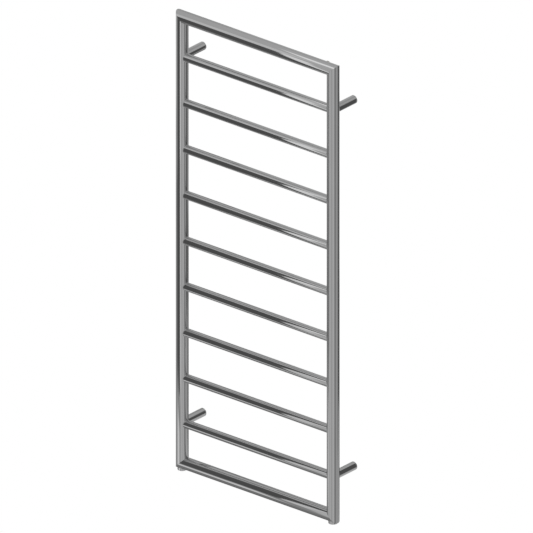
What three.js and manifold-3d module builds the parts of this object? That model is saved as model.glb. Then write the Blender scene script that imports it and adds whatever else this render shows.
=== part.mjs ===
// A wall-hung, water-heated towel warmer: a ladder of polished metal tubes on four wall posts.
//
// Millimetres, +Z up. The origin lies in the wall's plane, at the centre of the four wall posts.
// +X runs to the right as seen from the room, and +Y runs into the wall, whose face is y = 0.

import * as THREE from 'three';
import { mergeVertices } from 'three/addons/utils/BufferGeometryUtils.js';
import Module from 'manifold-3d';

const wasm = await Module();
wasm.setup();

// ---- Driving dimensions ----------------------------------------------------------------------

const OVERALL_WIDTH = 520;
const OVERALL_HEIGHT = 1250;
const FRAME_TUBE = { radius: 16, wall: 1.5 };
const CROSSBAR_TUBE = { radius: 11, wall: 1.2 };
const CROSSBAR_COUNT = 9;
const END_SPACE = 108; // from a rail's axis to the axis of the crossbar nearest to it
const WALL_DISTANCE = 80; // from the wall to the plane that holds every tube's axis

const WELD_GAP = 0.3; // left between pieces that a weld bead joins
const SEAT_GAP = 0.3; // left between pieces that press on each other
const RUNNING_GAP = 0.25; // radial, left round a piece that turns or slides in a bore
const OVERSHOOT = 1; // how far a cutter runs past the surface that it breaks through
const JOIN_DEPTH = 0.5; // how far one solid runs into another that it is joined to

const POST_RADIUS = 11;
const POST_BORE_DEPTH = 52;
const ROD = { radius: 6, length: 45 };
const FLANGE_THICKNESS = 3;
const HANGER_BOLT_HOLE = { radius: 3.4, depth: 24 }; // tapping size for M8
const EDGE_BREAK = 0.5; // the small chamfer on turned ends

const GRUB = { radius: 1.75, length: 3, from_wall: 20, socket_across: 2, socket_depth: 1.6 }; // M4
const PAD = { radius: 1.6, thickness: 0.8 };

const PIPE_BOSS = { radius: 12, bore: 9.3, length: 14.5, below_axis: 19.5 }; // bore: G1/2 minor radius

const VENT_FROM_UPRIGHT = 36; // from the right upright's axis to the vent's axis
const VENT_BOSS = { radius: 7, bore: 4.35, start: 9, end: 18.5 };
const VENT_SHANK = { radius: 4.1, start: 10 };
const VENT_HEX = { across: 12, end: 24.4 };
const VENT_PASSAGE_RADIUS = 1;
const VENT_SEAT = 12; // the height of the seat that the seal closes
const KEY_RECESS = { radius: 4.6, start: 21.1 };
const OUTLET = { radius: 0.9, height: 22.7 };
const O_RING = { radius: 5.2, section: 0.5 };
const SEAL = { radius: 1.9, thickness: 0.7 };
const SPINDLE = { radius: 2.2, square: 5, shoulder: 21.4, end: 24 }; // M5, with a square for a key

// Flat sides that stand for a circle. A corner lies on each main direction, so sizes are exact.
const FRAME_SIDES = 32;
const BAR_SIDES = 24;
const BORE_SIDES = 16;
const SMALL_SIDES = 12;
const HEXAGON = 6;

// ---- Worked out from them --------------------------------------------------------------------

const UPRIGHT_X = OVERALL_WIDTH / 2 - FRAME_TUBE.radius;
const RAIL_Z = OVERALL_HEIGHT / 2 - FRAME_TUBE.radius;
const OUTER_CROSSBAR_Z = RAIL_Z - END_SPACE; // also the height of the wall posts
const CROSSBAR_PITCH = (2 * OUTER_CROSSBAR_Z) / (CROSSBAR_COUNT - 1);
const CROSSBAR_BORE = CROSSBAR_TUBE.radius - CROSSBAR_TUBE.wall;
const POST_BORE = ROD.radius + RUNNING_GAP;
const POST_END = WALL_DISTANCE - FLANGE_THICKNESS - SEAT_GAP; // from the upright's axis

// ---- Finishes --------------------------------------------------------------------------------

const chrome = new THREE.MeshStandardMaterial({ color: 0xb9bcbf, roughness: 0.1, metalness: 1 });
const nickel = new THREE.MeshStandardMaterial({ color: 0xb5ada0, roughness: 0.25, metalness: 1 });
const steel = new THREE.MeshStandardMaterial({ color: 0x8d8f92, roughness: 0.35, metalness: 1 });
const brass = new THREE.MeshStandardMaterial({ color: 0xc9a24e, roughness: 0.35, metalness: 1 });
const rubber = new THREE.MeshStandardMaterial({ color: 0x17181a, roughness: 0.8, metalness: 0 });

// ---- Shapes and solids -----------------------------------------------------------------------

// Corners [radius, distance along Y], turned about the Y axis.
function turned(corners, sides) {
  return new THREE.LatheGeometry(corners.map(([radius, y]) => new THREE.Vector2(radius, y)), sides);
}

// A closed profile, for a turned piece with a hole through it.
function turnedRing(corners, sides) {
  return turned([...corners, corners[0]], sides);
}

// A round bar along the X, Y or Z axis, from one distance to another.
function bar(axis, radius, from, to, sides) {
  const geometry = new THREE.CylinderGeometry(radius, radius, to - from, sides);
  geometry.translate(0, (from + to) / 2, 0);
  if (axis === 'x') geometry.rotateZ(-Math.PI / 2);
  if (axis === 'z') geometry.rotateX(Math.PI / 2);
  return geometry;
}

// A solid that can be joined and cut, from a closed geometry.
function solidFrom(geometry) {
  geometry.deleteAttribute('normal');
  geometry.deleteAttribute('uv');
  const merged = mergeVertices(geometry, 1e-4);
  const corners = merged.index.array;
  const triangles = [];
  for (let i = 0; i < corners.length; i += 3) {
    const [a, b, c] = corners.slice(i, i + 3);
    if (a !== b && b !== c && c !== a) triangles.push(a, b, c); // flat ones lie where a shape meets its axis
  }
  return new wasm.Manifold(new wasm.Mesh({
    numProp: 3,
    vertProperties: merged.attributes.position.array,
    triVerts: Uint32Array.from(triangles),
  }));
}

function geometryFrom(solid) {
  const { vertProperties, triVerts } = solid.getMesh();
  const geometry = new THREE.BufferGeometry();
  geometry.setAttribute('position', new THREE.BufferAttribute(vertProperties, 3));
  geometry.setIndex(new THREE.BufferAttribute(triVerts, 1));
  return geometry;
}

// A body with each of the given shapes cut out of it.
function cut(body, ...shapes) {
  return shapes.reduce((solid, shape) => solid.subtract(solidFrom(shape)), body);
}

function piece(name, solid, material) {
  const mesh = new THREE.Mesh(geometryFrom(solid), material);
  mesh.name = name;
  return mesh;
}

// The outside of an upright, grown by the weld gap: what a bar that meets it is coped with.
function copeCutter(x) {
  const reach = 2 * FRAME_TUBE.radius;
  const geometry = bar('z', FRAME_TUBE.radius + WELD_GAP, -reach, reach, FRAME_SIDES);
  return geometry.translate(x, 0, 0);
}

// ---- Frame: two uprights and two rails, mitred at the corners --------------------------------

// A tube along X whose mitres meet the corner points at +-half. The inside of the frame is at -Z.
function mitredTube(half) {
  const { radius, wall } = FRAME_TUBE;
  const end = half + radius;
  const outside = bar('x', radius, -end, end, FRAME_SIDES);
  const bore = bar('x', radius - wall, -end - OVERSHOOT, end + OVERSHOOT, BORE_SIDES);
  const tube = cut(solidFrom(outside), bore);
  const reach = radius + OVERSHOOT;
  const back = (WELD_GAP / 2) * Math.SQRT2; // how far a mitre is moved along the tube for its gap
  const outline = new THREE.Shape([
    new THREE.Vector2(-half - reach + back, reach),
    new THREE.Vector2(-half + reach + back, -reach),
    new THREE.Vector2(half - reach - back, -reach),
    new THREE.Vector2(half + reach - back, reach),
  ]);
  const mitres = new THREE.ExtrudeGeometry(outline, { depth: 2 * reach, bevelEnabled: false });
  mitres.translate(0, 0, -reach).rotateX(Math.PI / 2);
  return tube.intersect(solidFrom(mitres));
}

const crossbarHeights = [];
for (let i = 0; i < CROSSBAR_COUNT; i += 1) {
  crossbarHeights.push(OUTER_CROSSBAR_Z - i * CROSSBAR_PITCH);
}

// Water flows through a hole in the upright behind each crossbar. The heights are symmetric, so
// the same tube serves on both sides.
function upright(name, x, turn) {
  const reach = FRAME_TUBE.radius + OVERSHOOT;
  const holes = crossbarHeights.map((height) => (
    bar('z', CROSSBAR_BORE, -reach, 0, BORE_SIDES).translate(height, 0, 0)
  ));
  const mesh = piece(name, cut(mitredTube(RAIL_Z), ...holes), chrome);
  mesh.position.x = x;
  mesh.rotation.y = turn;
  return mesh;
}

function topRail() {
  const { radius, start } = VENT_BOSS;
  const reach = FRAME_TUBE.radius + OVERSHOOT;
  const hole = bar('y', radius + WELD_GAP, start - OVERSHOOT, reach, BAR_SIDES);
  hole.translate(UPRIGHT_X - VENT_FROM_UPRIGHT, 0, 0);
  const mesh = piece('top_rail', cut(mitredTube(UPRIGHT_X), hole), chrome);
  mesh.position.z = RAIL_Z;
  return mesh;
}

function bottomRail() {
  const { radius, length, below_axis } = PIPE_BOSS;
  const start = below_axis - length - OVERSHOOT; // just inside the sleeve's inner end
  const reach = FRAME_TUBE.radius + OVERSHOOT;
  const holes = [-UPRIGHT_X, UPRIGHT_X].map((x) => (
    bar('z', radius + WELD_GAP, start, reach, BAR_SIDES).translate(x, 0, 0)
  ));
  const mesh = piece('bottom_rail', cut(mitredTube(UPRIGHT_X), ...holes), chrome);
  mesh.position.z = -RAIL_Z;
  mesh.rotation.y = Math.PI;
  return mesh;
}

// ---- Crossbars: thin tubes coped to the uprights ---------------------------------------------

function crossbar(number, height) {
  const outside = bar('x', CROSSBAR_TUBE.radius, -UPRIGHT_X, UPRIGHT_X, BAR_SIDES);
  const reach = UPRIGHT_X + OVERSHOOT;
  const bore = bar('x', CROSSBAR_BORE, -reach, reach, BORE_SIDES);
  const solid = cut(solidFrom(outside), bore, copeCutter(-UPRIGHT_X), copeCutter(UPRIGHT_X));
  const mesh = piece(`crossbar_${number}`, solid, chrome);
  mesh.position.z = height;
  return mesh;
}

// ---- Pipe connections: threaded sleeves let into the bottom rail under each upright ----------

function pipeBoss(side, x) {
  const { radius, bore, length } = PIPE_BOSS;
  const mouth = bore + 2 * EDGE_BREAK;
  const solid = solidFrom(turnedRing([
    [bore, 0],
    [radius, 0],
    [radius, length - EDGE_BREAK],
    [radius - EDGE_BREAK, length],
    [mouth, length],
    [bore, length - 2 * EDGE_BREAK],
  ], BAR_SIDES));
  const mesh = piece(`${side}_pipe_boss`, solid, chrome);
  mesh.position.set(x, 0, PIPE_BOSS.length - PIPE_BOSS.below_axis - RAIL_Z);
  mesh.rotation.x = -Math.PI / 2;
  return mesh;
}

// ---- Wall bracket: post, spigot, grub screw and pressure pad ---------------------------------

// A bored bar welded to the upright's back. The grub screw's hole is in its underside.
function post(place) {
  const floor = POST_END - POST_BORE_DEPTH;
  const turnedBar = solidFrom(turned([
    [0, 0],
    [POST_RADIUS, 0],
    [POST_RADIUS, POST_END - EDGE_BREAK],
    [POST_RADIUS - EDGE_BREAK, POST_END],
    [POST_BORE, POST_END],
    [POST_BORE, floor],
    [0, floor],
  ], BAR_SIDES));
  const reach = POST_RADIUS + OVERSHOOT;
  const screwHole = bar('z', GRUB.radius + RUNNING_GAP, -reach, 0, SMALL_SIDES);
  screwHole.translate(0, WALL_DISTANCE - GRUB.from_wall, 0);
  return piece(`post_${place}`, cut(turnedBar, copeCutter(0), screwHole), chrome);
}

// A flange against the wall and a rod that slides in the post. A hanger bolt screws into the rod.
function wallSpigot(place) {
  const shoulder = WALL_DISTANCE - FLANGE_THICKNESS;
  const solid = solidFrom(turned([
    [0, shoulder - ROD.length],
    [ROD.radius - EDGE_BREAK, shoulder - ROD.length],
    [ROD.radius, shoulder - ROD.length + EDGE_BREAK],
    [ROD.radius, shoulder],
    [POST_RADIUS - EDGE_BREAK, shoulder],
    [POST_RADIUS, shoulder + EDGE_BREAK],
    [POST_RADIUS, WALL_DISTANCE],
    [HANGER_BOLT_HOLE.radius, WALL_DISTANCE],
    [HANGER_BOLT_HOLE.radius, WALL_DISTANCE - HANGER_BOLT_HOLE.depth],
    [0, WALL_DISTANCE - HANGER_BOLT_HOLE.depth],
  ], BAR_SIDES));
  return piece(`wall_spigot_${place}`, solid, chrome);
}

const PAD_TOP = ROD.radius + SEAT_GAP; // distances below the post's axis
const GRUB_TIP = PAD_TOP + PAD.thickness + SEAT_GAP;

function pressurePad(place) {
  const disc = bar('y', PAD.radius, PAD_TOP, PAD_TOP + PAD.thickness, SMALL_SIDES);
  const mesh = piece(`pressure_pad_${place}`, solidFrom(disc), brass);
  mesh.position.y = WALL_DISTANCE - GRUB.from_wall;
  mesh.rotation.x = -Math.PI / 2;
  return mesh;
}

function grubScrew(place) {
  const { radius, length, socket_across, socket_depth } = GRUB;
  const end = GRUB_TIP + length;
  const socketRadius = socket_across / Math.sqrt(3);
  const socket = bar('y', socketRadius, end - socket_depth, end + OVERSHOOT, HEXAGON);
  const solid = cut(solidFrom(bar('y', radius, GRUB_TIP, end, SMALL_SIDES)), socket);
  const mesh = piece(`grub_screw_${place}`, solid, steel);
  mesh.position.y = WALL_DISTANCE - GRUB.from_wall;
  mesh.rotation.x = -Math.PI / 2;
  return mesh;
}

function bracket(place, x, z) {
  const group = new THREE.Group();
  group.position.set(x, 0, z);
  group.add(post(place), wallSpigot(place), pressurePad(place), grubScrew(place));
  return group;
}

// ---- Bleed vent on the back of the top rail --------------------------------------------------

function ventBoss() {
  const { radius, bore, start, end } = VENT_BOSS;
  const solid = solidFrom(turnedRing([
    [bore, start],
    [radius, start],
    [radius, end - EDGE_BREAK],
    [radius - EDGE_BREAK, end],
    [bore, end],
  ], BAR_SIDES));
  return piece('vent_boss', solid, chrome);
}

const O_RING_HEIGHT = VENT_BOSS.end + SEAT_GAP + O_RING.section;
const HEX_START = O_RING_HEIGHT + O_RING.section + SEAT_GAP;

function ventORing() {
  const ring = new THREE.TorusGeometry(O_RING.radius, O_RING.section, 8, BAR_SIDES);
  ring.rotateX(Math.PI / 2).translate(0, O_RING_HEIGHT, 0);
  return piece('vent_o_ring', solidFrom(ring), rubber);
}

// A hexagon on a threaded shank. Water passes the seat and leaves by the outlet in the hexagon.
function ventBody() {
  const hexRadius = VENT_HEX.across / Math.sqrt(3);
  const hexagon = solidFrom(bar('y', hexRadius, HEX_START, VENT_HEX.end, HEXAGON));
  const shankEnd = HEX_START + JOIN_DEPTH;
  const shank = solidFrom(bar('y', VENT_SHANK.radius, VENT_SHANK.start, shankEnd, BAR_SIDES));
  const threadRadius = SPINDLE.radius + RUNNING_GAP;
  const cavity = turned([
    [0, VENT_SHANK.start - OVERSHOOT],
    [VENT_PASSAGE_RADIUS, VENT_SHANK.start - OVERSHOOT],
    [VENT_PASSAGE_RADIUS, VENT_SEAT],
    [threadRadius, VENT_SEAT],
    [threadRadius, KEY_RECESS.start],
    [KEY_RECESS.radius, KEY_RECESS.start],
    [KEY_RECESS.radius, VENT_HEX.end + OVERSHOOT],
    [0, VENT_HEX.end + OVERSHOOT],
  ], BORE_SIDES);
  const outlet = bar('z', OUTLET.radius, -hexRadius - OVERSHOOT, 0, SMALL_SIDES);
  outlet.translate(0, OUTLET.height, 0);
  return piece('vent_body', cut(shank.add(hexagon), cavity, outlet), nickel);
}

function bleedSeal() {
  const start = VENT_SEAT + SEAT_GAP;
  const disc = bar('y', SEAL.radius, start, start + SEAL.thickness, SMALL_SIDES);
  return piece('bleed_seal', solidFrom(disc), rubber);
}

function bleedSpindle() {
  const start = VENT_SEAT + SEAT_GAP + SEAL.thickness + SEAT_GAP;
  const { radius, square, shoulder, end } = SPINDLE;
  const thread = solidFrom(bar('y', radius, start, shoulder + JOIN_DEPTH, BORE_SIDES));
  const head = new THREE.BoxGeometry(square, end - shoulder, square);
  head.translate(0, (shoulder + end) / 2, 0);
  return piece('bleed_spindle', thread.add(solidFrom(head)), brass);
}

function vent() {
  const group = new THREE.Group();
  group.position.set(UPRIGHT_X - VENT_FROM_UPRIGHT, 0, RAIL_Z);
  group.add(ventBoss(), ventORing(), ventBody(), bleedSeal(), bleedSpindle());
  return group;
}

// ---- The whole rack --------------------------------------------------------------------------

const rack = new THREE.Group();
rack.position.y = -WALL_DISTANCE;
rack.add(upright('left_upright', -UPRIGHT_X, -Math.PI / 2));
rack.add(upright('right_upright', UPRIGHT_X, Math.PI / 2));
rack.add(topRail(), bottomRail());
crossbarHeights.forEach((height, i) => rack.add(crossbar(i + 1, height)));
rack.add(pipeBoss('left', -UPRIGHT_X), pipeBoss('right', UPRIGHT_X));
rack.add(bracket('top_left', -UPRIGHT_X, OUTER_CROSSBAR_Z));
rack.add(bracket('top_right', UPRIGHT_X, OUTER_CROSSBAR_Z));
rack.add(bracket('bottom_left', -UPRIGHT_X, -OUTER_CROSSBAR_Z));
rack.add(bracket('bottom_right', UPRIGHT_X, -OUTER_CROSSBAR_Z));
rack.add(vent());

const towelWarmer = new THREE.Group();
towelWarmer.add(rack);

export default towelWarmer;
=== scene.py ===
# A wall-hung, water-heated towel warmer of chrome-plated steel tube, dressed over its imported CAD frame.
# Metres, +Z up. The wall's face is y = 0 and the room lies at -Y, where the camera stands.

import math

import bmesh
import bpy
from mathutils import Matrix, Vector


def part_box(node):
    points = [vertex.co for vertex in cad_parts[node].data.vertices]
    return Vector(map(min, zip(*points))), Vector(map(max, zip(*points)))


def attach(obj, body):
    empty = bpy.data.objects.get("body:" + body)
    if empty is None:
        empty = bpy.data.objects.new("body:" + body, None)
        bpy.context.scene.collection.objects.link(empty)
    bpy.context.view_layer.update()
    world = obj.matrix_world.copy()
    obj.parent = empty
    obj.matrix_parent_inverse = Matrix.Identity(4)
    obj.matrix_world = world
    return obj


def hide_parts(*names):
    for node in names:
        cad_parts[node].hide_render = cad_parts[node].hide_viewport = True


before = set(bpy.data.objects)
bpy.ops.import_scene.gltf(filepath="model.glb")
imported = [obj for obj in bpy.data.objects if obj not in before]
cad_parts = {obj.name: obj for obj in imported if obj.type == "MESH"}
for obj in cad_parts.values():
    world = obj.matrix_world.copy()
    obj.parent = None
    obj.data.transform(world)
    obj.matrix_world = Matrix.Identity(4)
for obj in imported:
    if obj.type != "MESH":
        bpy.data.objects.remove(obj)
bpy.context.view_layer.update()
scene = bpy.context.scene

# ---- Frame tubes -----------------------------------------------------------------------------
# Two uprights and two rails of 32 mm steel tube carry the water and everything else. They are
# sawn to mitres, welded at the corners, ground flush and chrome plated, so that each corner
# shows only a hair line. Each upright is drilled behind its crossbars to let the water through.

MM = 0.001
FRAME_WALL = 1.5 * MM
SEAM_BREAK = 0.12 * MM
BOSS_SINK = 0.1 * MM  # how far a boss runs into the edge of the hole that it stands in
TUBE_SIDES = 144
SMALL_SIDES = 64
SHARP_ANGLE = math.radians(30)
DIRECTIONS = {"x": Vector((1, 0, 0)), "y": Vector((0, 1, 0)), "z": Vector((0, 0, 1))}
ACROSS = {"x": ("y", "z"), "y": ("x", "z"), "z": ("x", "y")}

upright_low, upright_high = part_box("left_upright")
rail_low, rail_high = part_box("top_rail")
FRAME_RADIUS = (upright_high.x - upright_low.x) / 2
UPRIGHT_X = -(upright_low.x + upright_high.x) / 2
RAIL_Z = (rail_low.z + rail_high.z) / 2
FRAME_Y = (rail_low.y + rail_high.y) / 2
bar_low, bar_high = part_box("crossbar_1")
BAR_RADIUS = (bar_high.z - bar_low.z) / 2
BAR_WALL = 1.2 * MM
TOP_BAR_Z = (bar_low.z + bar_high.z) / 2
BAR_COUNT = sum(1 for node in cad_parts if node.startswith("crossbar_"))
BAR_PITCH = 2 * TOP_BAR_Z / (BAR_COUNT - 1)


def ring(centre, axis, radius, distance, sides=TUBE_SIDES):
    """Points round an axis. The distance along it is a number, or a function of each point's offset."""
    if radius == 0:
        return [centre + DIRECTIONS[axis] * distance]
    side, up = (DIRECTIONS[name] for name in ACROSS[axis])
    points = []
    for i in range(sides):
        angle = 2 * math.pi * i / sides
        offset = side * (radius * math.cos(angle)) + up * (radius * math.sin(angle))
        along = distance(offset) if callable(distance) else distance
        points.append(centre + offset + DIRECTIONS[axis] * along)
    return points


def skin(name, rings, soft=()):
    """A closed mesh stretched over rings of points. A ring of one point closes an end.
    Where no ring is a point, the last ring joins the first. Edges that run round a ring are
    sharp, apart from the rings whose numbers are in soft."""
    starts = [0]
    ring_of = []
    for number, points in enumerate(rings):
        starts.append(starts[-1] + len(points))
        ring_of += [number] * len(points)
    pairs = [(number, number + 1) for number in range(len(rings) - 1)]
    if len(rings[0]) > 1:
        pairs.append((len(rings) - 1, 0))
    faces = []
    for first, second in pairs:
        sizes = len(rings[first]), len(rings[second])
        for i in range(max(sizes)):
            j = (i + 1) % max(sizes)
            corners = [
                starts[first] + i % sizes[0],
                starts[first] + j % sizes[0],
                starts[second] + j % sizes[1],
                starts[second] + i % sizes[1],
            ]
            faces.append(list(dict.fromkeys(corners)))
    mesh = bpy.data.meshes.new(name)
    mesh.from_pydata([point for points in rings for point in points], [], faces)
    outwards(mesh)
    for edge in mesh.edges:
        first, second = (ring_of[vertex] for vertex in edge.vertices)
        edge.use_edge_sharp = first == second and first not in soft
    piece = bpy.data.objects.new(name, mesh)
    scene.collection.objects.link(piece)
    return piece


def outwards(mesh):
    """Turns every face of a closed mesh outwards and shades it smooth."""
    form = bmesh.new()
    form.from_mesh(mesh)
    bmesh.ops.recalc_face_normals(form, faces=form.faces)
    for face in form.faces:
        face.smooth = True
    form.to_mesh(mesh)
    form.free()


def plain_copy(piece):
    """The piece's mesh with its modifiers worked in and taken off."""
    evaluated = piece.evaluated_get(bpy.context.evaluated_depsgraph_get())
    mesh = bpy.data.meshes.new_from_object(evaluated)
    piece.modifiers.clear()
    piece.data = mesh
    mesh.name = piece.name
    return mesh


def drill(piece, cutters, turned_faces):
    """Cuts holes in a piece, then gives its turned faces the exact normals of a true round.
    A turned face is (a point on its axis, the axis's name, its radius)."""
    for cutter in cutters:
        cut = piece.modifiers.new("hole", "BOOLEAN")
        cut.operation = "DIFFERENCE"
        cut.solver = "EXACT"
        cut.object = cutter
    mesh = plain_copy(piece)
    for cutter in cutters:
        bpy.data.objects.remove(cutter)
    mesh.set_sharp_from_angle(angle=SHARP_ANGLE)
    normals = [Vector(corner.vector) for corner in mesh.corner_normals]
    tolerance = 0.02 * MM
    nearly_straight = 0.99
    for face in mesh.polygons:
        for corner in face.loop_indices:
            place = mesh.vertices[mesh.loops[corner].vertex_index].co
            for centre, axis, radius in turned_faces:
                out = place - centre
                out -= DIRECTIONS[axis] * out.dot(DIRECTIONS[axis])
                facing = face.normal.dot(out.normalized())
                if abs(out.length - radius) < tolerance and abs(facing) > nearly_straight:
                    normals[corner] = out.normalized() * math.copysign(1, facing)
    mesh.normals_split_custom_set(normals)


def mitred_tube(name, centre, axis, half, outward):
    """A tube whose ends are sawn at 45 degrees, long on the side that faces outward."""
    bore = FRAME_RADIUS - FRAME_WALL
    rounds = [(FRAME_RADIUS, SEAM_BREAK), (FRAME_RADIUS - SEAM_BREAK, 0), (bore, 0)]
    left = [
        ring(centre, axis, radius, lambda offset, back=back: back - half - offset.dot(outward))
        for radius, back in rounds
    ]
    right = [
        ring(centre, axis, radius, lambda offset, back=back: half + offset.dot(outward) - back)
        for radius, back in rounds
    ]
    return skin(name, left[:1] + right + left[:0:-1])


def rod(name, centre, axis, radius, low, high, sides=SMALL_SIDES):
    """A plain round rod, used for cutting holes."""
    rings = [
        ring(centre, axis, 0, low),
        ring(centre, axis, radius, low, sides),
        ring(centre, axis, radius, high, sides),
        ring(centre, axis, 0, high),
    ]
    return skin(name, rings)


class Field:
    """One output of a node. Arithmetic on it adds Math nodes, and node() adds any other node."""

    def __init__(self, tree, socket=None):
        self.tree = tree
        self.socket = socket

    def node(self, kind, settings, inputs, output=0):
        made = self.tree.nodes.new(kind)
        for name, setting in settings.items():
            setattr(made, name, setting)
        for name, given in inputs.items():
            if isinstance(given, Field):
                self.tree.links.new(given.socket, made.inputs[name])
            else:
                made.inputs[name].default_value = given
        return Field(self.tree, made.outputs[output])

    def other(self, output):
        return Field(self.tree, self.socket.node.outputs[output])

    def math(self, operation, *values):
        return self.node("ShaderNodeMath", {"operation": operation}, dict(enumerate(values)))

    def __add__(self, other):
        return self.math("ADD", self, other)

    def __radd__(self, other):
        return self.math("ADD", other, self)

    def __sub__(self, other):
        return self.math("SUBTRACT", self, other)

    def __rsub__(self, other):
        return self.math("SUBTRACT", other, self)

    def __mul__(self, other):
        return self.math("MULTIPLY", self, other)

    def __rmul__(self, other):
        return self.math("MULTIPLY", other, self)

    def __truediv__(self, other):
        return self.math("DIVIDE", self, other)


def bare_finish(name, colour, roughness, metallic=1):
    """A new material, metal unless told otherwise. Gives it, its shader and each point's place."""
    material = bpy.data.materials.new(name)
    material.use_nodes = True
    material.diffuse_color = (*colour, 1)
    shader = material.node_tree.nodes["Principled BSDF"]
    shader.inputs["Base Color"].default_value = (*colour, 1)
    shader.inputs["Metallic"].default_value = metallic
    shader.inputs["Roughness"].default_value = roughness
    start = Field(material.node_tree)
    place = start.node("ShaderNodeTexCoord", {}, {}, "Object")
    return material, shader, place


def stretched(place, scales):
    """The place scaled by a different number along each direction, for a pattern to read."""
    return place.node("ShaderNodeVectorMath", {"operation": "MULTIPLY"}, {0: place, 1: scales})


def noise(place, scale, detail):
    """Cloudy noise from 0 to 1 at a number of spots a metre."""
    settings = {"noise_dimensions": "3D"}
    return place.node("ShaderNodeTexNoise", settings, {"Vector": place, "Scale": scale, "Detail": detail})


def tinted(amount, dark, pale):
    """A colour that goes from dark to pale as amount goes from 0 to 1."""
    inputs = {0: amount, 6: (*dark, 1), 7: (*pale, 1)}
    return amount.node("ShaderNodeMix", {"data_type": "RGBA"}, inputs, 2)


def dented(height, strength, distance):
    """A surface normal for a height from 0 to 1."""
    inputs = {"Strength": strength, "Distance": distance, "Height": height}
    return height.node("ShaderNodeBump", {}, inputs)


CHROME_PALE = (0.645, 0.646, 0.648)
CHROME_DARK = (0.585, 0.586, 0.588)


def polished_chrome(name, along):
    """Bright chrome over buffed steel. Buffing leaves hair lines along the tube, handling leaves
    a faint haze, and the drawn tube under it is never quite flat."""
    material, shader, place = bare_finish(name, CHROME_PALE, 0.05)
    hair = [1500.0, 1500.0, 1500.0]
    hair["xyz".index(along)] = 14.0
    lines = noise(stretched(place, hair), 1.0, 2.0)
    ripple = [55.0, 55.0, 55.0]
    ripple["xyz".index(along)] = 5.0
    waves = noise(stretched(place, ripple), 1.0, 1.0)
    haze = noise(place, 16.0, 4.0)
    tree = material.node_tree
    roughness = 0.025 + haze * 0.05 + lines * 0.03
    tree.links.new(roughness.socket, shader.inputs["Roughness"])
    colour = tinted(haze * 0.6 + lines * 0.4, CHROME_DARK, CHROME_PALE)
    tree.links.new(colour.socket, shader.inputs["Base Color"])
    tree.links.new(dented(waves, 0.25, 0.1 * MM).socket, shader.inputs["Normal"])
    return material


chrome_along = {axis: polished_chrome("polished_chrome_" + axis, axis) for axis in "xyz"}

for side, sign in (("left", -1), ("right", 1)):
    node = side + "_upright"
    centre = Vector((sign * UPRIGHT_X, FRAME_Y, 0))
    tube = mitred_tube(node + "_tube", centre, "z", RAIL_Z, Vector((sign, 0, 0)))
    heights = [TOP_BAR_Z - number * BAR_PITCH for number in range(BAR_COUNT)]
    reach = sorted((0, -2 * sign * FRAME_RADIUS))
    holes = [
        rod("water_hole", centre + Vector((0, 0, height)), "x", BAR_RADIUS - BAR_WALL, *reach)
        for height in heights
    ]
    drill(tube, holes, [(centre, "z", FRAME_RADIUS), (centre, "z", FRAME_RADIUS - FRAME_WALL)])
    tube.data.materials.append(chrome_along["z"])
    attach(tube, "rack")
    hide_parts(node)

vent_low, vent_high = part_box("vent_boss")
VENT_X = (vent_low.x + vent_high.x) / 2
VENT_BOSS_RADIUS = (vent_high.x - vent_low.x) / 2
boss_low, boss_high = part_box("left_pipe_boss")
PIPE_BOSS_RADIUS = (boss_high.x - boss_low.x) / 2
rail_faces = [FRAME_RADIUS, FRAME_RADIUS - FRAME_WALL]

top_centre = Vector((0, FRAME_Y, RAIL_Z))
top_rail = mitred_tube("top_rail_tube", top_centre, "x", UPRIGHT_X, Vector((0, 0, 1)))
vent_centre = Vector((VENT_X, FRAME_Y, RAIL_Z))
vent_hole = rod("vent_hole", vent_centre, "y", VENT_BOSS_RADIUS - BOSS_SINK, 0, 2 * FRAME_RADIUS)
drill(top_rail, [vent_hole], [(top_centre, "x", radius) for radius in rail_faces])

bottom_centre = Vector((0, FRAME_Y, -RAIL_Z))
bottom_rail = mitred_tube("bottom_rail_tube", bottom_centre, "x", UPRIGHT_X, Vector((0, 0, -1)))
pipe_hole_radius = PIPE_BOSS_RADIUS - BOSS_SINK
pipe_holes = [
    rod("pipe_hole", Vector((x, FRAME_Y, -RAIL_Z)), "z", pipe_hole_radius, -2 * FRAME_RADIUS, 0)
    for x in (-UPRIGHT_X, UPRIGHT_X)
]
drill(bottom_rail, pipe_holes, [(bottom_centre, "x", radius) for radius in rail_faces])

for rail, node in ((top_rail, "top_rail"), (bottom_rail, "bottom_rail")):
    rail.data.materials.append(chrome_along["x"])
    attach(rail, "rack")
    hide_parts(node)

# ---- Crossbars -------------------------------------------------------------------------------
# Nine 22 mm tubes hang the towels. Each end is milled to the round of the upright and welded
# over its water hole. One tube is shaped here, then set out down the ladder at an even pitch.

ROOT_SINK = 0.2 * MM  # how far a welded end runs into the tube that it stands on


def open_tree(name, inputs):
    """A new Geometry Nodes tree with these named inputs. Gives a Field for each of them."""
    tree = bpy.data.node_groups.new(name, "GeometryNodeTree")
    tree.interface.new_socket("Geometry", in_out="OUTPUT", socket_type="NodeSocketGeometry")
    for label, kind in inputs.items():
        tree.interface.new_socket(label, in_out="INPUT", socket_type="NodeSocket" + kind)
    given = tree.nodes.new("NodeGroupInput")
    return {label: Field(tree, given.outputs[label]) for label in inputs}


def close_tree(shape, finish):
    """Ends a tree: real geometry instead of instances, smooth, with its material."""
    shape = shape.node("GeometryNodeRealizeInstances", {}, {"Geometry": shape})
    shape = shape.node("GeometryNodeSetShadeSmooth", {}, {"Geometry": shape})
    shape = shape.node("GeometryNodeSetMaterial", {}, {"Geometry": shape, "Material": finish})
    shape.tree.links.new(shape.socket, shape.tree.nodes.new("NodeGroupOutput").inputs["Geometry"])
    return shape.tree


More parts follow.
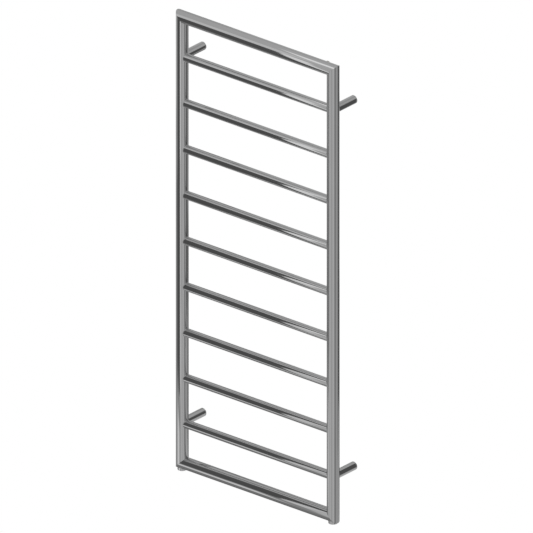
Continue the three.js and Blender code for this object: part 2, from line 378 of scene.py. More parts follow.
def grown(name, tree, sizes, mesh=None):
    """Runs a tree with its sizes set, on a mesh or on nothing, and keeps the result as a plain piece."""
    piece = bpy.data.objects.new(name, mesh or bpy.data.meshes.new(name))
    scene.collection.objects.link(piece)
    modifier = piece.modifiers.new(name, "NODES")
    modifier.node_group = tree
    for item in tree.interface.items_tree:
        if item.in_out == "INPUT" and item.name in sizes:
            modifier[item.identifier] = sizes[item.name]
    mesh = plain_copy(piece)
    outwards(mesh)
    mesh.set_sharp_from_angle(angle=SHARP_ANGLE)
    return piece


def woven_grid(columns, rows):
    """A grid to be bent into a closed shape. Gives it and a Field for each point's column and row."""
    sizes = {"Vertices X": columns, "Vertices Y": rows}
    grid = Field(columns.tree).node("GeometryNodeMeshGrid", {}, sizes)
    index = grid.node("GeometryNodeInputIndex", {}, {})
    column = grid.math("FLOOR", (index + 0.5) / rows)
    return grid, column, index - column * rows


def bent(grid, x, y, z):
    """The grid with its points moved to x, y and z, and the edges that meet there joined."""
    place = grid.node("ShaderNodeCombineXYZ", {}, {"X": x, "Y": y, "Z": z})
    moved = grid.node("GeometryNodeSetPosition", {}, {"Geometry": grid, "Position": place})
    same_place = 0.001 * MM
    return grid.node("GeometryNodeMergeByDistance", {}, {"Geometry": moved, "Distance": same_place})


def is_between(value, low, high):
    """1 where the value lies between two numbers, and 0 elsewhere."""
    return value.math("GREATER_THAN", value, low) * value.math("LESS_THAN", value, high)


given = open_tree("crossbar_ladder", {
    "Bars": "Int",
    "Pitch": "Float",
    "Top Bar": "Vector",
    "Half Span": "Float",
    "Upright Radius": "Float",
    "Tube Radius": "Float",
    "Wall": "Float",
    "Sides": "Int",
    "Finish": "Material",
})
RING_COUNT = 5  # outside left, outside right, bore right, bore left, and outside left again
grid, column, row = woven_grid(given["Sides"] + 1, RING_COUNT)
angle = column * (2 * math.pi) / given["Sides"]
radius = given["Tube Radius"] - is_between(row, 1.5, 3.5) * given["Wall"]
y = radius * grid.math("COSINE", angle)
z = radius * grid.math("SINE", angle)
saddle = grid.math("SQRT", given["Upright Radius"] * given["Upright Radius"] - y * y)
x = (given["Half Span"] - saddle) * (is_between(row, 0.5, 2.5) * 2 - 1)
bar = bent(grid, x, y, z)
step = grid.node("ShaderNodeCombineXYZ", {}, {"Z": 0 - given["Pitch"]})
line = {"Count": given["Bars"], "Start Location": given["Top Bar"], "Offset": step}
places = grid.node("GeometryNodeMeshLine", {"mode": "OFFSET"}, line)
ladder = grid.node("GeometryNodeInstanceOnPoints", {}, {"Points": places, "Instance": bar})
crossbars = grown("crossbar_tubes", close_tree(ladder, given["Finish"]), {
    "Bars": BAR_COUNT,
    "Pitch": BAR_PITCH,
    "Top Bar": (0.0, FRAME_Y, TOP_BAR_Z),
    "Half Span": UPRIGHT_X,
    "Upright Radius": FRAME_RADIUS - ROOT_SINK,
    "Tube Radius": BAR_RADIUS,
    "Wall": BAR_WALL,
    "Sides": TUBE_SIDES,
    "Finish": chrome_along["x"],
})
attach(crossbars, "rack")
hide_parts(*["crossbar_" + str(number + 1) for number in range(BAR_COUNT)])

# ---- Weld beads ------------------------------------------------------------------------------
# A thin bead of weld runs round every foot where one tube or boss stands on another. It is
# filed and buffed down before plating, so it is under a millimetre high and as bright as the tubes.

BEAD_RADIUS = 0.7 * MM
BEAD_STATIONS = 96  # round the foot
BEAD_SIDES = 12  # round the bead itself
TOWARDS = {
    "+x": Matrix.Identity(3),
    "-x": Matrix.Rotation(math.pi, 3, "Z"),
    "+y": Matrix.Rotation(math.pi / 2, 3, "Z"),
    "+y over x": Matrix(((0, 0, 1), (1, 0, 0), (0, 1, 0))),
    "-z over x": Matrix.Rotation(math.pi / 2, 3, "Y"),
}


def marked_points(name, marks):
    """A mesh of loose points, each holding the turn that its copy of a shape is given."""
    mesh = bpy.data.meshes.new(name)
    mesh.from_pydata([place for place, turn in marks], [], [])
    turns = mesh.attributes.new("turn", "FLOAT_VECTOR", "POINT")
    for item, (place, turn) in zip(turns.data, marks):
        item.vector = turn.to_euler()
    return mesh


def set_out(shape, points):
    """A copy of the shape at each marked point, turned as the mark says."""
    turn = shape.node("GeometryNodeInputNamedAttribute", {"data_type": "FLOAT_VECTOR"}, {"Name": "turn"})
    turn = shape.node("FunctionNodeEulerToRotation", {}, {0: turn})
    inputs = {"Points": points, "Instance": shape, "Rotation": turn}
    return shape.node("GeometryNodeInstanceOnPoints", {}, inputs)


given = open_tree("weld_bead", {
    "Feet": "Geometry",
    "Foot Radius": "Float",
    "Main Radius": "Float",
    "Bead Radius": "Float",
    "Finish": "Material",
})
circle = {"Resolution": BEAD_STATIONS, "Radius": given["Foot Radius"]}
foot = given["Feet"].node("GeometryNodeCurvePrimitiveCircle", {}, circle)
flat = foot.node("ShaderNodeSeparateXYZ", {}, {0: foot.node("GeometryNodeInputPosition", {}, {})})
rise = foot.math("SQRT", given["Main Radius"] * given["Main Radius"] - flat * flat)
saddle = foot.node("ShaderNodeCombineXYZ", {}, {"X": rise, "Y": flat, "Z": flat.other("Y")})
foot = foot.node("GeometryNodeSetPosition", {}, {"Geometry": foot, "Position": saddle})
section = {"Resolution": BEAD_SIDES, "Radius": given["Bead Radius"]}
section = foot.node("GeometryNodeCurvePrimitiveCircle", {}, section)
bead = foot.node("GeometryNodeCurveToMesh", {}, {"Curve": foot, "Profile Curve": section})
bead_tree = close_tree(set_out(bead, given["Feet"]), given["Finish"])

bar_feet = []
for number in range(BAR_COUNT):
    height = TOP_BAR_Z - number * BAR_PITCH
    bar_feet.append(((-UPRIGHT_X, FRAME_Y, height), TOWARDS["+x"]))
    bar_feet.append(((UPRIGHT_X, FRAME_Y, height), TOWARDS["-x"]))
for x in (-UPRIGHT_X, UPRIGHT_X):
    for z in (-TOP_BAR_Z, TOP_BAR_Z):
        bar_feet.append(((x, FRAME_Y, z), TOWARDS["+y"]))
pipe_feet = [((x, FRAME_Y, -RAIL_Z), TOWARDS["-z over x"]) for x in (-UPRIGHT_X, UPRIGHT_X)]
vent_foot = [((VENT_X, FRAME_Y, RAIL_Z), TOWARDS["+y over x"])]

for name, feet, radius in (
    ("bar_and_post_welds", bar_feet, BAR_RADIUS),
    ("pipe_boss_welds", pipe_feet, PIPE_BOSS_RADIUS),
    ("vent_boss_weld", vent_foot, VENT_BOSS_RADIUS),
):
    beads = grown(name, bead_tree, {
        "Foot Radius": radius,
        "Main Radius": FRAME_RADIUS,
        "Bead Radius": BEAD_RADIUS,
        "Finish": chrome_along["z"],
    }, marked_points(name, feet))
    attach(beads, "rack")

# ---- Pipe bosses -----------------------------------------------------------------------------
# A threaded steel sleeve stands in the bottom rail under each upright, and the water pipes screw
# up into them. Each is turned from bar, tapped G1/2, welded in and plated with the frame.

PIPE_THREAD = {"root": 10.45 * MM, "crest": 9.3 * MM, "pitch": 1.814 * MM}
LIP = 0.6 * MM
ROUNDING = 0.3  # where the middle of a rounded edge lies, as a share of its size
SLEEVE_SIDES = 96
RIDGE_WIDTH = 0.44  # from a ridge's crest to its root, as a share of the pitch
FADE_RATE = 3  # a ridge reaches its full height in a third of a turn


def turned(name, centre, axis, profile, sides=SMALL_SIDES, soft=()):
    """A piece turned on a lathe, from (radius, distance along the axis) all the way round."""
    return skin(name, [ring(centre, axis, radius, along, sides) for radius, along in profile], soft)


given = open_tree("screw_thread", {
    "Places": "Geometry",
    "Turns": "Float",
    "Stations": "Int",
    "Pitch": "Float",
    "Root Radius": "Float",
    "Crest Radius": "Float",
    "Finish": "Material",
})
RIDGE_ROWS = 4  # one root, the crest, the other root, and the first root again
grid, column, row = woven_grid(given["Stations"], RIDGE_ROWS)
turns_done = column / (given["Stations"] - 1) * given["Turns"]
to_end = grid.math("MINIMUM", turns_done, given["Turns"] - turns_done)
run_out = grid.math("MINIMUM", to_end * FADE_RATE, 1)
crest = grid.math("MAXIMUM", 1 - grid.math("ABSOLUTE", row - 1), 0) * run_out
on_last_row = grid.math("GREATER_THAN", row, RIDGE_ROWS - 1.5)
flank = (row - 1 - on_last_row * (RIDGE_ROWS - 1)) * run_out
radius = given["Root Radius"] + (given["Crest Radius"] - given["Root Radius"]) * crest
angle = turns_done * (2 * math.pi)
rise = (turns_done + flank * RIDGE_WIDTH) * given["Pitch"]
ridge = bent(grid, radius * grid.math("COSINE", angle), radius * grid.math("SINE", angle), rise)
thread_tree = close_tree(set_out(ridge, given["Places"]), given["Finish"])


def screw_thread(name, places, turns, thread, finish):
    """One ridge wound round each marked place, fading out at both ends."""
    stations_a_turn = 48
    return grown(name, thread_tree, {
        "Turns": turns,
        "Stations": int(turns * stations_a_turn),
        "Pitch": thread["pitch"],
        "Root Radius": thread["root"],
        "Crest Radius": thread["crest"],
        "Finish": finish,
    }, marked_points(name, places))


boss_length = boss_high.z - boss_low.z
root = PIPE_THREAD["root"]
boss_profile = [
    (root, boss_length),
    (PIPE_BOSS_RADIUS, boss_length),
    (PIPE_BOSS_RADIUS, LIP),
    (PIPE_BOSS_RADIUS - ROUNDING * LIP, ROUNDING * LIP),
    (PIPE_BOSS_RADIUS - LIP, 0),
    (root + LIP, 0),
    (root, LIP),
]
thread_starts = []
for side, x in (("left", -UPRIGHT_X), ("right", UPRIGHT_X)):
    foot = Vector((x, FRAME_Y, boss_low.z))
    boss = turned(side + "_pipe_sleeve", foot, "z", boss_profile, SLEEVE_SIDES, soft=(3,))
    boss.data.materials.append(chrome_along["z"])
    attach(boss, "rack")
    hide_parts(side + "_pipe_boss")
    thread_starts.append((foot + Vector((0, 0, LIP)), Matrix.Identity(3)))
pipe_turns = (boss_length - 2 * LIP) / PIPE_THREAD["pitch"]
pipe_threads = screw_thread("pipe_threads", thread_starts, pipe_turns, PIPE_THREAD, chrome_along["z"])
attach(pipe_threads, "rack")

# ---- Wall posts ------------------------------------------------------------------------------
# Four bars, bored from the wall end, hold the rack off the wall. Each is coped and welded to the
# back of an upright, and a hole in its underside takes the grub screw that grips the wall spigot.

CORNERS = ("top_left", "top_right", "bottom_left", "bottom_right")
SPIGOT_BORE = 6.25 * MM
BORE_DEPTH = 52 * MM
DRILL_POINT = 2.5 * MM
post_low, post_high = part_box("post_top_left")
POST_RADIUS = (post_high.x - post_low.x) / 2
grub_low, grub_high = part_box("grub_screw_top_left")
GRUB_Y = (grub_low.y + grub_high.y) / 2
GRUB_HOLE = 2.0 * MM
EDGE = 0.5 * MM
ROUND_SIDES = 48  # of small round pieces and holes


def axis_of(node):
    """The point on the wall's face that a bracket piece is turned about."""
    low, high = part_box(node)
    return Vector(((low.x + high.x) / 2, 0, (low.z + high.z) / 2))


def upright_back(offset):
    """Where a post's end meets the back of its upright, at this offset from the post's axis."""
    return FRAME_Y + math.sqrt((FRAME_RADIUS - ROOT_SINK) ** 2 - offset.x ** 2)


for corner in CORNERS:
    node = "post_" + corner
    axis = axis_of(node)
    end = post_high.y
    floor = end - BORE_DEPTH
    rings = [
        ring(axis, "y", 0, FRAME_Y + FRAME_RADIUS - ROOT_SINK),
        ring(axis, "y", POST_RADIUS, upright_back),
        ring(axis, "y", POST_RADIUS, end - EDGE),
        ring(axis, "y", POST_RADIUS - ROUNDING * EDGE, end - ROUNDING * EDGE),
        ring(axis, "y", POST_RADIUS - EDGE, end),
        ring(axis, "y", SPIGOT_BORE + ROUNDING * EDGE, end),
        ring(axis, "y", SPIGOT_BORE, end - ROUNDING * EDGE),
        ring(axis, "y", SPIGOT_BORE, floor),
        ring(axis, "y", 0, floor - DRILL_POINT),
    ]
    post = skin(corner + "_post_sleeve", rings, soft=(3,))
    hole_centre = axis + Vector((0, GRUB_Y, 0))
    hole = rod("grub_hole", hole_centre, "z", GRUB_HOLE, -2 * POST_RADIUS, 0, ROUND_SIDES)
    drill(post, [hole], [(axis, "y", POST_RADIUS), (axis, "y", SPIGOT_BORE)])
    post.data.materials.append(chrome_along["y"])
    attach(post, "rack")
    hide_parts(node)

# ---- Wall spigots ----------------------------------------------------------------------------
# A turned flange lies on the wall at each corner, and its rod slides into the post. It is drilled
# and tapped M8 from behind, and screws onto a hanger bolt in the wall. Chrome plated.

HANGER_THREAD = {"root": 4.0 * MM, "crest": 3.4 * MM, "pitch": 1.25 * MM}
HANGER_DEPTH = 24 * MM
FLANGE_EDGE = 0.1 * MM  # on the side that lies on the wall
FLANGE = 3 * MM
ROD_RADIUS = 6 * MM
rod_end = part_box("wall_spigot_top_left")[0].y
root = HANGER_THREAD["root"]
spigot_profile = [
    (0, rod_end),
    (ROD_RADIUS - EDGE, rod_end),
    (ROD_RADIUS - ROUNDING * EDGE, rod_end + ROUNDING * EDGE),
    (ROD_RADIUS, rod_end + EDGE),
    (ROD_RADIUS, -FLANGE),
    (POST_RADIUS - EDGE, -FLANGE),
    (POST_RADIUS - ROUNDING * EDGE, -FLANGE + ROUNDING * EDGE),
    (POST_RADIUS, -FLANGE + EDGE),
    (POST_RADIUS, -FLANGE_EDGE),
    (POST_RADIUS - FLANGE_EDGE, 0),
    (root + EDGE, 0),
    (root, -EDGE),
    (root, -HANGER_DEPTH),
    (0, -HANGER_DEPTH - DRILL_POINT),
]
INTO_WALL = Matrix.Rotation(-math.pi / 2, 3, "X")
hanger_start = 2 * EDGE - HANGER_DEPTH
hanger_turns = (-EDGE - hanger_start) / HANGER_THREAD["pitch"]  # up to the hole's bevelled mouth
for corner in CORNERS:
    body = "spigot_" + corner
    node = "wall_spigot_" + corner
    axis = axis_of(node)
    spigot = turned(corner + "_wall_flange", axis, "y", spigot_profile, SLEEVE_SIDES, soft=(2, 6))
    spigot.data.materials.append(chrome_along["y"])
    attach(spigot, body)
    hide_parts(node)
    places = [(axis + Vector((0, hanger_start, 0)), INTO_WALL)]
    name = corner + "_hanger_thread"
    thread = screw_thread(name, places, hanger_turns, HANGER_THREAD, chrome_along["y"])
    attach(thread, body)

# ---- Pressure pads ---------------------------------------------------------------------------
# A small brass disc lies between each grub screw and the rod that it grips, so that the screw
# doesn't score the chrome. It is parted off from bar and lies loose in the screw's hole.

PAD_EDGE = 0.1 * MM
BRASS_PALE = (0.78, 0.60, 0.30)
BRASS_DARK = (0.62, 0.46, 0.22)


def machined_brass():
    """Bare brass as it comes off the tool: fine marks, and a little tarnish in clouds."""
    material, shader, place = bare_finish("machined_brass", BRASS_PALE, 0.3)
    marks = noise(stretched(place, (3000.0, 3000.0, 9000.0)), 1.0, 2.0)
    tarnish = noise(place, 350.0, 4.0)
    tree = material.node_tree
    tree.links.new(tinted(tarnish, BRASS_DARK, BRASS_PALE).socket, shader.inputs["Base Color"])
    tree.links.new((0.2 + tarnish * 0.2 + marks * 0.1).socket, shader.inputs["Roughness"])
    tree.links.new(dented(marks, 0.3, 0.02 * MM).socket, shader.inputs["Normal"])
    return material


brass = machined_brass()


def disc_profile(radius, low, high, edge):
    """The outline of a turned disc with both its edges broken."""
    return [
        (0, low),
        (radius - edge, low),
        (radius, low + edge),
        (radius, high - edge),
        (radius - edge, high),
        (0, high),
    ]


for corner in CORNERS:
    node = "pressure_pad_" + corner
    low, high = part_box(node)
    centre = (low + high) / 2
    half = (high.z - low.z) / 2
    profile = disc_profile((high.x - low.x) / 2, -half, half, PAD_EDGE)
    pad = turned(corner + "_pad_disc", centre, "z", profile, ROUND_SIDES)
    pad.data.materials.append(brass)
    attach(pad, "pad_" + corner)
    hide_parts(node)

# ---- Grub screws -----------------------------------------------------------------------------
# An M4 screw with no head turns in each post's underside by a 2 mm hexagon key and presses the
# pad against the rod. It is plain steel, rolled and cut to length.

GRUB_THREAD = {"root": 1.6 * MM, "crest": 1.92 * MM, "pitch": 0.7 * MM}
KEY_ACROSS = 2 * MM
KEY_DEPTH = 1.6 * MM
KEY_POINT = 0.3 * MM  # the depth of the cone that the drill leaves in the socket
GRUB_EDGE = 0.25 * MM
STEEL_PALE = (0.50, 0.50, 0.505)
STEEL_DARK = (0.36, 0.36, 0.37)


def plain_steel():
    """Bare screw steel: dull, with a fine drawn grain and darker clouds of oil."""
    material, shader, place = bare_finish("plain_steel", STEEL_PALE, 0.35)
    grain = noise(stretched(place, (6000.0, 6000.0, 1200.0)), 1.0, 2.0)
    oil = noise(place, 500.0, 3.0)
    tree = material.node_tree
    tree.links.new(tinted(oil, STEEL_DARK, STEEL_PALE).socket, shader.inputs["Base Color"])
    tree.links.new((0.25 + oil * 0.15 + grain * 0.1).socket, shader.inputs["Roughness"])
    tree.links.new(dented(grain, 0.3, 0.02 * MM).socket, shader.inputs["Normal"])
    return material


steel = plain_steel()


def hexagon_ring(centre, axis, across, distance, sides, turn=0.0):
    """Points round a hexagon, evenly by angle, with its flats this far across."""
    side, up = (DIRECTIONS[name] for name in ACROSS[axis])
    points = []
    for i in range(sides):
        angle = 2 * math.pi * i / sides
        within = (angle + turn) % (math.pi / 3) - math.pi / 6
        radius = across / 2 / math.cos(within)
        offset = side * (radius * math.cos(angle)) + up * (radius * math.sin(angle))
        points.append(centre + offset + DIRECTIONS[axis] * distance)
    return points


for corner in CORNERS:
    node = "grub_screw_" + corner
    body = "grub_" + corner
    low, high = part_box(node)
    foot = Vector(((low.x + high.x) / 2, (low.y + high.y) / 2, low.z))
    length = high.z - low.z
    root = GRUB_THREAD["root"]
    sides = ROUND_SIDES
    rings = [
        ring(foot, "z", 0, length),
        ring(foot, "z", root - GRUB_EDGE, length, sides),
        ring(foot, "z", root, length - GRUB_EDGE, sides),
        ring(foot, "z", root, GRUB_EDGE, sides),
        ring(foot, "z", root - GRUB_EDGE, 0, sides),
        hexagon_ring(foot, "z", KEY_ACROSS, 0, sides),
        hexagon_ring(foot, "z", KEY_ACROSS, KEY_DEPTH, sides),
        ring(foot, "z", 0, KEY_DEPTH + KEY_POINT),
    ]
    screw = skin(corner + "_grub_body", rings)
    screw.data.set_sharp_from_angle(angle=SHARP_ANGLE)
    screw.data.materials.append(steel)
    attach(screw, body)
    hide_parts(node)
    start = foot + Vector((0, 0, GRUB_EDGE))
    turns = (length - 2 * GRUB_EDGE) / GRUB_THREAD["pitch"]
    thread = screw_thread(corner + "_grub_thread", [(start, Matrix.Identity(3))], turns, GRUB_THREAD, steel)
    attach(thread, body)

# ---- Bleed vent ------------------------------------------------------------------------------
# A boss on the back of the top rail takes the vent, which lets air out. Its body is a nickel
# plated brass hexagon on a threaded shank, and it closes on the boss with a rubber O-ring.

VENT_BORE = 4.35 * MM
vent_axis = Vector((VENT_X, 0, RAIL_Z))
boss_profile = [
    (VENT_BORE, vent_low.y),
    (VENT_BOSS_RADIUS, vent_low.y),
    (VENT_BOSS_RADIUS, vent_high.y - EDGE),
    (VENT_BOSS_RADIUS - ROUNDING * EDGE, vent_high.y - ROUNDING * EDGE),
    (VENT_BOSS_RADIUS - EDGE, vent_high.y),
    (VENT_BORE, vent_high.y),
]
vent_boss = turned("vent_sleeve", vent_axis, "y", boss_profile, SLEEVE_SIDES, soft=(3,))
vent_boss.data.materials.append(chrome_along["y"])
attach(vent_boss, "rack")
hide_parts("vent_boss")


def soft_rubber():
    """Black moulded rubber: matt, faintly mottled, with a bloom that lifts its colour in clouds."""
    material, shader, place = bare_finish("black_rubber", (0.02, 0.02, 0.021), 0.6, metallic=0)
    bloom = noise(place, 400.0, 4.0)
    tree = material.node_tree
    colour = tinted(bloom, (0.014, 0.014, 0.015), (0.03, 0.03, 0.031))
    tree.links.new(colour.socket, shader.inputs["Base Color"])
    tree.links.new((0.5 + bloom * 0.25).socket, shader.inputs["Roughness"])
    tree.links.new(dented(noise(place, 6000.0, 2.0), 0.3, 0.02 * MM).socket, shader.inputs["Normal"])
    return material


rubber = soft_rubber()
ring_low, ring_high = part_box("vent_o_ring")
section = (ring_high.y - ring_low.y) / 2
ring_radius = (ring_high.x - ring_low.x) / 2 - section
ring_y = (ring_low.y + ring_high.y) / 2
SECTION_STEPS = 16
ring_profile = []
for i in range(SECTION_STEPS):
    angle = 2 * math.pi * i / SECTION_STEPS
    ring_profile.append((ring_radius + section * math.cos(angle), ring_y + section * math.sin(angle)))
o_ring = turned("vent_rubber_ring", vent_axis, "y", ring_profile, SLEEVE_SIDES, soft=range(SECTION_STEPS))
o_ring.data.materials.append(rubber)
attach(o_ring, "rack")
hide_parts("vent_o_ring")

NICKEL_PALE = (0.68, 0.64, 0.585)
NICKEL_DARK = (0.56, 0.525, 0.475)


def satin_nickel():
    """Nickel over turned brass: warm grey, satin, with the tool's marks still faintly there."""
    material, shader, place = bare_finish("satin_nickel", NICKEL_PALE, 0.22)
    marks = noise(stretched(place, (2500.0, 9000.0, 2500.0)), 1.0, 2.0)
    clouds = noise(place, 250.0, 3.0)
    tree = material.node_tree
    tree.links.new(tinted(clouds, NICKEL_DARK, NICKEL_PALE).socket, shader.inputs["Base Color"])
    tree.links.new((0.14 + clouds * 0.12 + marks * 0.06).socket, shader.inputs["Roughness"])
    tree.links.new(dented(marks, 0.2, 0.02 * MM).socket, shader.inputs["Normal"])
    return material


nickel = satin_nickel()
HEX_ACROSS = 12 * MM
HEX_SIDES = 96
HEX_EDGE = 0.55 * MM  # how far down from a face the cone that bevels the corners reaches
BEVEL_START = 0.985  # the cone's width at a face, as a share of the distance across flats
BEVEL_ANGLE = math.radians(30)
SHANK_RADIUS = 4.1 * MM
RECESS_RADIUS = 4.6 * MM
RECESS_DEPTH = 3.3 * MM
RECESS_EDGE = 0.2 * MM
THREAD_BORE = 2.45 * MM
PASSAGE = 1.0 * MM
SEAT_Y = FRAME_Y + 12 * MM
OUTLET_RADIUS = 0.9 * MM
OUTLET_Y = FRAME_Y + 22.7 * MM
OUTLET_SIDES = 32
RING_GAP = 0.3 * MM  # between the O-ring and the hexagon
body_low, body_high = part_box("vent_body")
hex_start = ring_high.y + RING_GAP
hex_end = body_high.y


def bevelled(flat_ring, from_face):
    """A hexagon ring drawn in to the cone that a lathe tool bevels at this depth from a face."""
    limit = HEX_ACROSS / 2 * BEVEL_START + from_face / math.tan(BEVEL_ANGLE)
    points = []
    for point in flat_ring:
        out = Vector((point.x - vent_axis.x, 0, point.z - vent_axis.z))
        points.append(point - out * max(0, 1 - limit / out.length))
    return points


BEVEL_STEPS = 5
depths = [HEX_EDGE * step / BEVEL_STEPS for step in range(BEVEL_STEPS + 1)]
near = [bevelled(hexagon_ring(vent_axis, "y", HEX_ACROSS, hex_start + d, HEX_SIDES), d) for d in depths]
far = [bevelled(hexagon_ring(vent_axis, "y", HEX_ACROSS, hex_end - d, HEX_SIDES), d) for d in depths]
rings = [
    ring(vent_axis, "y", PASSAGE, body_low.y, HEX_SIDES),
    ring(vent_axis, "y", SHANK_RADIUS - EDGE, body_low.y, HEX_SIDES),
    ring(vent_axis, "y", SHANK_RADIUS, body_low.y + EDGE, HEX_SIDES),
    ring(vent_axis, "y", SHANK_RADIUS, hex_start, HEX_SIDES),
    *near,
    *reversed(far),
    ring(vent_axis, "y", RECESS_RADIUS + RECESS_EDGE, hex_end, HEX_SIDES),
    ring(vent_axis, "y", RECESS_RADIUS, hex_end - RECESS_EDGE, HEX_SIDES),
    ring(vent_axis, "y", RECESS_RADIUS, hex_end - RECESS_DEPTH, HEX_SIDES),
    ring(vent_axis, "y", THREAD_BORE, hex_end - RECESS_DEPTH, HEX_SIDES),
    ring(vent_axis, "y", THREAD_BORE, SEAT_Y, HEX_SIDES),
    ring(vent_axis, "y", PASSAGE, SEAT_Y, HEX_SIDES),
]
vent_body = skin("vent_hexagon", rings)
outlet_centre = Vector((VENT_X, OUTLET_Y, RAIL_Z))
outlet = rod("outlet", outlet_centre, "z", OUTLET_RADIUS, -HEX_ACROSS, 0, OUTLET_SIDES)
for edge in vent_body.data.edges:
    edge.use_edge_sharp = False
drill(vent_body, [outlet], [])
vent_body.data.materials.append(nickel)
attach(vent_body, "rack")
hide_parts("vent_body")

# ---- Bleed valve -----------------------------------------------------------------------------
# Inside the vent a brass spindle with a 5 mm square for the key screws a rubber seal onto its
# seat. Turned out a little, it lets the air past the seal and out at the hole in the hexagon.

SEAL_EDGE = 0.1 * MM
low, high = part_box("bleed_seal")
seal_radius = (high.x - low.x) / 2
seal_profile = disc_profile(seal_radius, low.y, high.y, SEAL_EDGE)
seal = turned("bleed_rubber_disc", vent_axis, "y", seal_profile, ROUND_SIDES)
seal.data.materials.append(rubber)
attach(seal, "bleed_seal")
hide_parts("bleed_seal")

SPINDLE_THREAD = {"root": 1.95 * MM, "crest": 2.35 * MM, "pitch": 0.8 * MM}
SQUARE = 5 * MM
SQUARE_EDGE = 0.35 * MM
SQUARE_BEVEL = 1.05 * MM  # how far the corners are drawn in at the end that takes the key
SHOULDER_Y = FRAME_Y + 21.4 * MM
SQUARE_SIDES = 64


def square_ring(distance, inset):
    """Points round the spindle's square, evenly by angle, drawn in by the bevel on its end."""
    reach = SQUARE / 2 * math.sqrt(2) - inset
    points = []
    for i in range(SQUARE_SIDES):
        angle = 2 * math.pi * (i + 0.5) / SQUARE_SIDES
        within = angle % (math.pi / 2) - math.pi / 4
        radius = min(SQUARE / 2 / math.cos(math.pi / 4 - abs(within)), reach)
        offset = Vector((math.cos(angle), 0, math.sin(angle))) * radius
        points.append(vent_axis + offset + Vector((0, distance, 0)))
    return points


low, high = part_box("bleed_spindle")
root = SPINDLE_THREAD["root"]
rings = [
    ring(vent_axis, "y", 0, low.y),
    ring(vent_axis, "y", root - SEAL_EDGE, low.y, SQUARE_SIDES),
    ring(vent_axis, "y", root, low.y + SEAL_EDGE, SQUARE_SIDES),
    ring(vent_axis, "y", root, SHOULDER_Y, SQUARE_SIDES),
    square_ring(SHOULDER_Y, SQUARE_EDGE),
    square_ring(high.y - SQUARE_EDGE, SQUARE_EDGE),
    square_ring(high.y, SQUARE_BEVEL),
    ring(vent_axis, "y", 0, high.y),
]
spindle = skin("bleed_square_spindle", rings)
spindle.data.set_sharp_from_angle(angle=SHARP_ANGLE)
spindle.data.materials.append(brass)
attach(spindle, "bleed_spindle")
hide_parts("bleed_spindle")
start = Vector((VENT_X, low.y + SEAL_EDGE, RAIL_Z))
turns = (SHOULDER_Y - low.y - 3 * SEAL_EDGE) / SPINDLE_THREAD["pitch"]
thread = screw_thread("bleed_spindle_thread", [(start, INTO_WALL)], turns, SPINDLE_THREAD, brass)
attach(thread, "bleed_spindle")

# ---- Camera ----------------------------------------------------------------------------------
# It stands to the right and above, and draws with no perspective, as on a maker's data sheet. Two
# small shifts set where the rack lies in the frame.

VIEW_AZIMUTH = math.radians(40.0)
VIEW_ELEVATION = math.radians(25.05)
VIEW_WIDTH = 1.3206
VIEW_SHIFT_RIGHT = 21.8 * MM
VIEW_SHIFT_UP = -1.0 * MM
VIEW_DISTANCE = 3
back = Vector((
    math.sin(VIEW_AZIMUTH) * math.cos(VIEW_ELEVATION),
    -math.cos(VIEW_AZIMUTH) * math.cos(VIEW_ELEVATION),
    math.sin(VIEW_ELEVATION),
))
right = Vector((math.cos(VIEW_AZIMUTH), math.sin(VIEW_AZIMUTH), 0))
target = Vector((0, FRAME_Y, 0)) + right * VIEW_SHIFT_RIGHT + back.cross(right) * VIEW_SHIFT_UP
camera = bpy.data.objects.new("camera", bpy.data.cameras.new("camera"))
scene.collection.objects.link(camera)
camera.data.type = "ORTHO"
camera.data.ortho_scale = VIEW_WIDTH
camera.location = target + back * VIEW_DISTANCE
camera.rotation_mode = "QUATERNION"
camera.rotation_quaternion = (-back).to_track_quat("-Z", "Y")
scene.camera = camera

# ---- Stage -----------------------------------------------------------------------------------
# A pale floor in a white surround. The chrome mirrors a small room of soft panels round the rack,
# some bright and some dark, which give it its bands. The camera itself doesn't see the panels.

scene.view_settings.view_transform = "Standard"
world = bpy.data.worlds.new("white_surround")
world.use_nodes = True
world.node_tree.nodes["Background"].inputs["Color"].default_value = (1, 1, 1, 1)
scene.world = world

ROOM_LOW = Vector((-0.8, -0.58, -1.1))
ROOM_HIGH = Vector((0.8, 0.92, 1.1))


def quad(name, corners, material):
    """A flat sheet for the stage."""
    mesh = bpy.data.meshes.new(name)
    mesh.from_pydata(corners, [], [(0, 1, 2, 3)])
    mesh.materials.append(material)
    sheet = bpy.data.objects.new(name, mesh)
    scene.collection.objects.link(sheet)
    return sheet


def lit(name):
    """A new material that only gives off light. Gives it, its shader and each point's place."""
    material = bpy.data.materials.new(name)
    material.use_nodes = True
    tree = material.node_tree
    tree.nodes.clear()
    start = Field(tree)
    glow = start.node("ShaderNodeEmission", {}, {"Strength": 1.0})
    output = tree.nodes.new("ShaderNodeOutputMaterial")
    tree.links.new(glow.socket, output.inputs["Surface"])
    place = start.node("ShaderNodeTexCoord", {}, {}, "Object")
    axes = start.node("ShaderNodeSeparateXYZ", {}, {0: place})
    return material, glow.socket.node, {"x": axes, "y": axes.other("Y"), "z": axes.other("Z")}


def rise_at(value, edge, softness):
    """0 below an edge and 1 above it, with a soft step between."""
    inputs = {"Value": value, "From Min": edge - softness, "From Max": edge + softness}
    return value.node("ShaderNodeMapRange", {"interpolation_type": "SMOOTHSTEP"}, inputs)


def panel_wall(name, corners, level, cards):
    """A wall of the light room: one level of light, with soft-edged cards laid over it in turn.
    A card is (its level, its softness, {axis: (low, high)})."""
    material, glow, axes = lit(name)
    for card_level, softness, extent in cards:
        cover = 1
        for axis, (low, high) in extent.items():
            inside = rise_at(axes[axis], low, softness) - rise_at(axes[axis], high, softness)
            cover = inside * cover
        level = level + cover * (card_level - level)
    material.node_tree.links.new(level.socket, glow.inputs["Strength"])
    wall = quad(name, corners, material)
    wall.visible_camera = False
    return wall


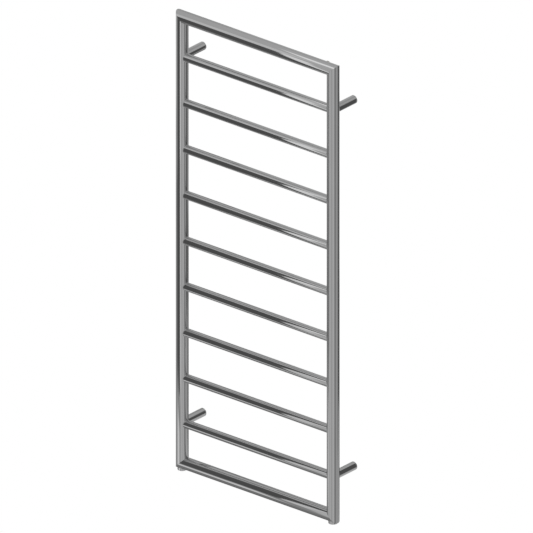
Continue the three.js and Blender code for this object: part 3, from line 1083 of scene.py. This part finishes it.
FAR = 9.0  # past the end of any wall
x0, y0, z0 = ROOM_LOW
x1, y1, z1 = ROOM_HIGH
panel_wall("front_panels", [(x0, y0, z0), (x1, y0, z0), (x1, y0, z1), (x0, y0, z1)], 0.53, [
    (0.70, 0.03, {"x": (-FAR, -0.25), "z": (0.60, FAR)}),
    (0.28, 0.03, {"x": (-FAR, -0.42), "z": (-FAR, -0.60)}),
    (0.33, 0.04, {"x": (-0.40, -0.16), "z": (-FAR, -0.66)}),
    (0.62, 0.04, {"x": (-0.15, 0.08), "z": (-FAR, -0.42)}),
    (0.80, 0.03, {"x": (-FAR, -0.33), "z": (-1.03, -0.74)}),
    (0.72, 0.015, {"x": (-0.27, -0.165), "z": (-0.62, 0.0)}),
    (0.95, 0.015, {"x": (-0.27, -0.165), "z": (0.0, 0.72)}),
    (0.10, 0.012, {"x": (-FAR, -0.26), "z": (-0.65, 0.67)}),
    (0.28, 0.02, {"x": (0.05, 0.10)}),
    (0.61, 0.03, {"x": (0.15, 0.29)}),
    (0.43, 0.03, {"x": (0.29, 0.43)}),
    (0.60, 0.03, {"x": (0.60, FAR)}),
])
panel_wall("left_panels", [(x0, y0, z0), (x0, y1, z0), (x0, y1, z1), (x0, y0, z1)], 0.50, [
    (0.60, 0.05, {"y": (-0.20, 0.12), "z": (0.10, FAR)}),
    (0.40, 0.08, {"y": (-0.20, 0.60), "z": (-FAR, 0.10)}),
    (0.42, 0.04, {"y": (-0.46, -0.20), "z": (-0.10, 0.55)}),
    (0.22, 0.04, {"y": (-0.46, -0.20), "z": (-FAR, -0.10)}),
    (0.13, 0.03, {"y": (-FAR, -0.45), "z": (-0.70, 0.62)}),
    (0.75, 0.03, {"y": (-FAR, -0.44), "z": (-FAR, -0.78)}),
    (0.26, 0.06, {"y": (0.66, FAR), "z": (-FAR, 0.8)}),
])
panel_wall("right_panels", [(x1, y0, z0), (x1, y1, z0), (x1, y1, z1), (x1, y0, z1)], 0.42, [
    (0.54, 0.04, {"y": (-FAR, -0.40)}),
    (0.20, 0.03, {"y": (-0.32, -0.14)}),
    (0.10, 0.02, {"y": (0.40, FAR), "z": (-0.80, 0.75)}),
])
panel_wall("back_panels", [(x0, y1, z0), (x1, y1, z0), (x1, y1, z1), (x0, y1, z1)], 0.50, [
    (0.20, 0.06, {"x": (-FAR, 0.52), "z": (-FAR, 0.30)}),
    (0.45, 0.05, {"x": (-FAR, 0.34), "z": (-0.42, 0.28)}),
    (0.10, 0.02, {"x": (0.50, FAR), "z": (-0.80, 0.80)}),
])
panel_wall("top_panels", [(x0, y0, z1), (x1, y0, z1), (x1, y1, z1), (x0, y1, z1)], 0.53, [
    (1.05, 0.03, {"x": (-0.26, -0.06), "y": (-0.46, -0.18)}),
    (0.42, 0.05, {"y": (0.30, 0.60)}),
])
panel_wall("bottom_panels", [(x0, y0, z0), (x1, y0, z0), (x1, y1, z0), (x0, y1, z0)], 0.55, [
    (0.24, 0.05, {"x": (-FAR, 0.2), "y": (-FAR, -0.10)}),
    (0.13, 0.05, {"x": (-FAR, 0.2), "y": (-0.10, 0.28)}),
])

FLOOR_Z = -2.1  # low enough not to hide the rack in a view from 40 degrees below
FLOOR_REACH = 12
pale = lit("pale_floor")[0]
corners = [(-1, -1), (1, -1), (1, 1), (-1, 1)]
floor = quad("floor", [(x * FLOOR_REACH, y * FLOOR_REACH, FLOOR_Z) for x, y in corners], pale)
